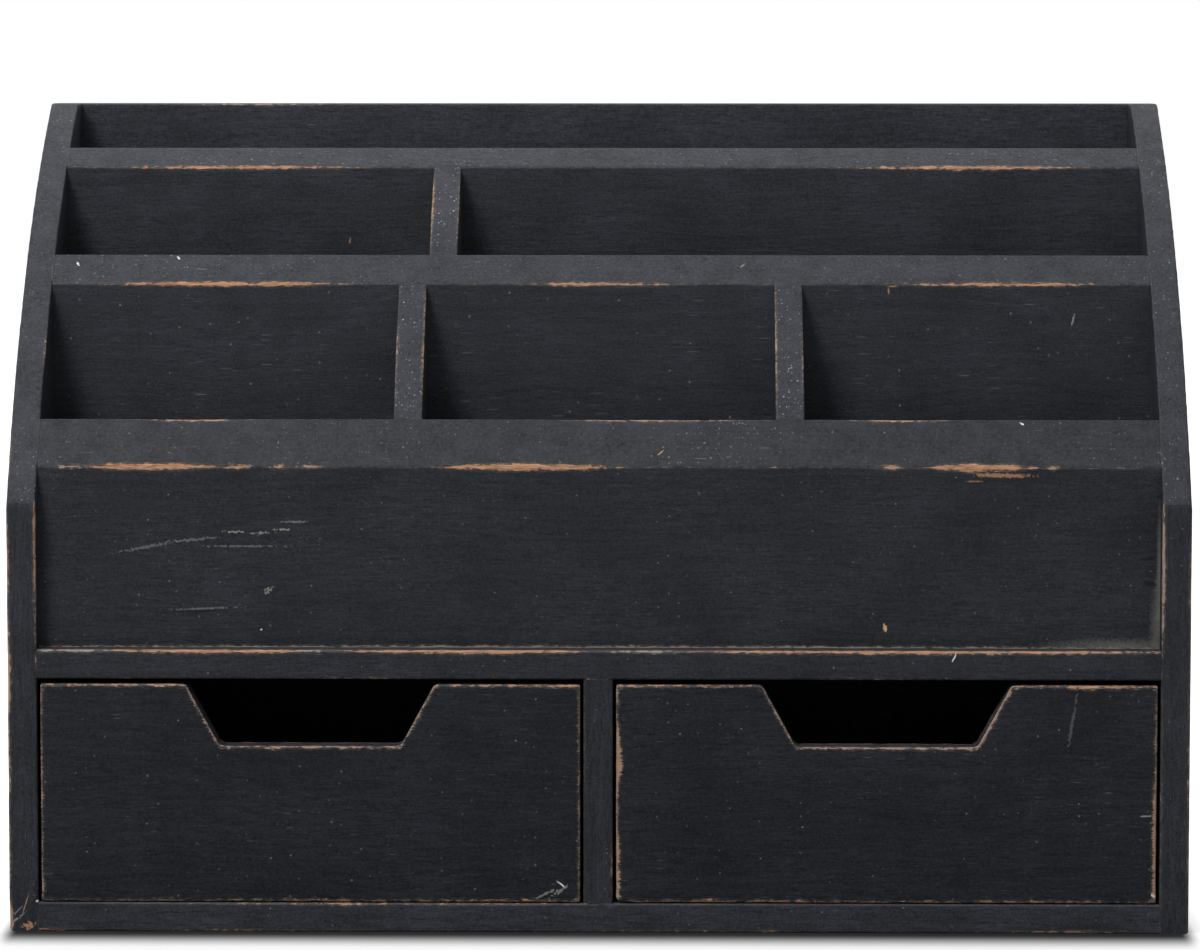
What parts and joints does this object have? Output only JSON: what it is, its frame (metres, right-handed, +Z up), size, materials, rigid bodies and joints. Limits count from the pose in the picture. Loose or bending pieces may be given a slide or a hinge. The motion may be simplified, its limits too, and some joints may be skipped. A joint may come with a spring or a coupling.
{
  "type": "envelope sorter with drawers",
  "caption": "Tiered desk sorter of painted wood boards with swept side panels, stepped pockets for envelopes and paper, and inset sliding drawers with finger notches.",
  "frame": {"origin": "on the floor, under the middle of the case's footprint", "axes": "+X along the width to the right, +Y from the drawers to the back panel, +Z up"},
  "size_m": [0.381, 0.146, 0.2667],
  "materials": {
    "case_paint": "matte blue-black paint, sanded through to brown wood along the edges",
    "drawer_face": "matte blue-black paint, sanded through to brown wood along the edges and the finger notch",
    "drawer_box": "thin matte black paint over wood",
    "drawer_bottom": "thin matte black paint over hardboard",
    "brad_steel": "plain steel, driven flush and painted over"
  },
  "bodies": {
    "case": {"left_side_panel": "case_paint", "right_side_panel": "case_paint", "back_panel": "case_paint", "base_board": "case_paint", "drawer_shelf": "case_paint", "bay_divider": "case_paint", "lower_front": "case_paint", "middle_front": "case_paint", "upper_front": "case_paint", "lower_divider_left": "case_paint", "lower_divider_right": "case_paint", "middle_divider": "case_paint", "left_side_brads": "brad_steel", "right_side_brads": "brad_steel", "back_brads": "brad_steel", "shelf_brads": "brad_steel", "bay_divider_brads": "brad_steel"},
    "left_drawer": {"left_drawer_front": "drawer_face", "left_drawer_left_side": "drawer_box", "left_drawer_right_side": "drawer_box", "left_drawer_back": "drawer_box", "left_drawer_bottom": "drawer_bottom", "left_drawer_brads": "brad_steel"},
    "right_drawer": {"right_drawer_front": "drawer_face", "right_drawer_left_side": "drawer_box", "right_drawer_right_side": "drawer_box", "right_drawer_back": "drawer_box", "right_drawer_bottom": "drawer_bottom", "right_drawer_brads": "brad_steel"}
  },
  "joints": [
    {"name": "left_drawer_slide", "type": "slide", "parent": "case", "child": "left_drawer", "axis": [0, -1, 0], "range_m": [0, 0.1]},
    {"name": "right_drawer_slide", "type": "slide", "parent": "case", "child": "right_drawer", "axis": [0, -1, 0], "range_m": [0, 0.1]}
  ]
}
